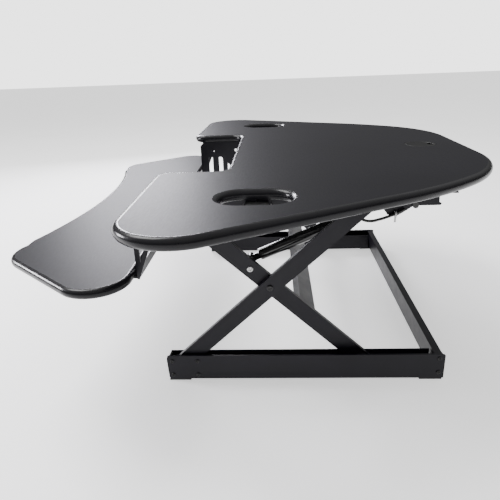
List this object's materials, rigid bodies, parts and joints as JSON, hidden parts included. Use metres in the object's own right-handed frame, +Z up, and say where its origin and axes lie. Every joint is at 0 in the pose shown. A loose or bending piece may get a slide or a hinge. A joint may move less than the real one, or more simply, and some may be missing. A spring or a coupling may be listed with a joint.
{
  "type": "standing desk converter",
  "caption": "Corner-shaped sit-stand desk riser: dark board with user cutout and handle slots on a black scissor lift with gas springs, and a keyboard tray hung below.",
  "frame": {"origin": "bottom centre of the bounding box, on the surface the base stands on", "axes": "+X to the user's right along the desktop's width, +Y from the user towards the back, +Z up"},
  "size_m": [1.166, 0.8504, 0.368],
  "materials": {
    "frame_coat": "satin black powder coat",
    "leg_coat": "satin black powder coat",
    "board_film": "matte charcoal film over fibreboard",
    "grommet_plastic": "matte black moulded plastic",
    "cap_plastic": "matte black moulded plastic",
    "foot_rubber": "black rubber",
    "roller_plastic": "natural nylon",
    "black_screw": "blackened steel",
    "bright_steel": "bright plated steel",
    "rod_chrome": "hard chrome",
    "spring_paint": "gloss black paint",
    "paddle_paint": "satin grey powder coat",
    "cable_sheath": "black vinyl sheath",
    "clear_nylon": "translucent nylon"
  },
  "bodies": {
    "base": {"base_rail_right": "frame_coat", "base_rail_left": "frame_coat", "base_rear_bar": "frame_coat", "rail_end_caps": "cap_plastic", "base_feet": "foot_rubber", "foot_brackets": "frame_coat", "roller_tracks": "frame_coat", "base_screws": "black_screw"},
    "leg_a": {"leg_a_right": "leg_coat", "leg_a_left": "leg_coat", "centre_bolts": "black_screw", "centre_washers": "bright_steel", "top_roller_pins": "bright_steel"},
    "leg_b": {"leg_b_right": "leg_coat", "leg_b_left": "leg_coat", "leg_b_cross_tube": "leg_coat", "base_roller_pins": "bright_steel", "spring_bolts": "bright_steel"},
    "base_roller_right": {"base_roller_right": "roller_plastic"},
    "base_roller_left": {"base_roller_left": "roller_plastic"},
    "top_roller_right": {"top_roller_right": "roller_plastic"},
    "top_roller_left": {"top_roller_left": "roller_plastic"},
    "spring_cylinder_right": {"spring_cylinder_right": "spring_paint"},
    "spring_cylinder_left": {"spring_cylinder_left": "spring_paint"},
    "spring_rod_right": {"spring_rod_right": "rod_chrome"},
    "spring_rod_left": {"spring_rod_left": "rod_chrome"},
    "top": {"top_rail_right": "frame_coat", "top_rail_left": "frame_coat", "top_front_bar": "frame_coat", "top_rear_bar": "frame_coat", "top_pivot_pins": "black_screw", "spring_brackets": "frame_coat", "frame_screws": "black_screw", "desktop_board": "board_film", "grommet_ring": "grommet_plastic", "paddle_brackets": "frame_coat", "paddle_pins": "bright_steel", "release_cable_right": "cable_sheath", "release_cable_left": "cable_sheath", "cable_ties": "clear_nylon", "tray_board": "board_film", "tray_cross_rail": "frame_coat", "inner_hanger_right": "frame_coat", "inner_hanger_left": "frame_coat", "outer_hanger_right": "frame_coat", "outer_hanger_left": "frame_coat", "hanger_screws": "black_screw"},
    "grommet_cap": {"grommet_cap": "cap_plastic"},
    "release_paddle_right": {"release_paddle_right": "paddle_paint"},
    "release_paddle_left": {"release_paddle_left": "paddle_paint"}
  },
  "joints": [
    {"name": "lift", "type": "hinge", "parent": "base", "child": "leg_a", "pos_m": [0, -0.16275, 0.029], "axis": [1, 0, 0], "range_deg": [-31.3, 8.7]},
    {"name": "scissor_cross", "type": "hinge", "parent": "leg_a", "child": "leg_b", "pos_m": [0, 0.00582, 0.18401], "axis": [1, 0, 0], "range_deg": [-17.6, 62.8]},
    {"name": "top_pivot", "type": "hinge", "parent": "leg_b", "child": "top", "pos_m": [0, -0.16275, 0.33901], "axis": [1, 0, 0], "range_deg": [-31.5, 8.9]},
    {"name": "spring_swing_right", "type": "hinge", "parent": "leg_b", "child": "spring_cylinder_right", "pos_m": [0.27, -0.02804, 0.21514], "axis": [1, 0, 0], "range_deg": [-46.9, 13.1]},
    {"name": "spring_slide_right", "type": "slide", "parent": "spring_cylinder_right", "child": "spring_rod_right", "axis": [0, 0.9218, 0.3876], "range_m": [-0.0742, 0.0207]},
    {"name": "spring_swing_left", "type": "hinge", "parent": "leg_b", "child": "spring_cylinder_left", "pos_m": [-0.27, -0.02804, 0.21514], "axis": [1, 0, 0], "range_deg": [-46.9, 13.1]},
    {"name": "spring_slide_left", "type": "slide", "parent": "spring_cylinder_left", "child": "spring_rod_left", "axis": [0, 0.9218, 0.3876], "range_m": [-0.0742, 0.0207]},
    {"name": "base_roller_spin_right", "type": "hinge", "parent": "leg_b", "child": "base_roller_right", "pos_m": [0.3285, 0.17438, 0.029], "axis": [1, 0, 0], "continuous": true},
    {"name": "top_roller_spin_right", "type": "hinge", "parent": "leg_a", "child": "top_roller_right", "pos_m": [0.318, 0.17438, 0.33901], "axis": [1, 0, 0], "continuous": true},
    {"name": "base_roller_spin_left", "type": "hinge", "parent": "leg_b", "child": "base_roller_left", "pos_m": [-0.3285, 0.17438, 0.029], "axis": [1, 0, 0], "continuous": true},
    {"name": "top_roller_spin_left", "type": "hinge", "parent": "leg_a", "child": "top_roller_left", "pos_m": [-0.318, 0.17438, 0.33901], "axis": [1, 0, 0], "continuous": true},
    {"name": "paddle_right", "type": "hinge", "parent": "top", "child": "release_paddle_right", "pos_m": [0.352, -0.01075, 0.33901], "axis": [0, -1, 0], "range_deg": [0, 5], "stiffness_Nm_per_rad": 0.5},
    {"name": "paddle_left", "type": "hinge", "parent": "top", "child": "release_paddle_left", "pos_m": [-0.352, -0.01075, 0.33901], "axis": [0, 1, 0], "range_deg": [0, 5], "stiffness_Nm_per_rad": 0.5},
    {"name": "grommet_turn", "type": "hinge", "parent": "top", "child": "grommet_cap", "pos_m": [0, 0.33625, 0.36801], "axis": [0, 0, 1], "continuous": true}
  ],
  "couplings": [
    {"joint": "scissor_cross", "follows": "lift", "ratio": -2},
    {"joint": "top_pivot", "follows": "lift", "ratio": 1},
    {"joint": "spring_swing_right", "follows": "lift", "ratio": 1.4939},
    {"joint": "spring_slide_right", "follows": "lift", "m_per_rad": 0.1355},
    {"joint": "spring_swing_left", "follows": "lift", "ratio": 1.4939},
    {"joint": "spring_slide_left", "follows": "lift", "m_per_rad": 0.1355}
  ]
}
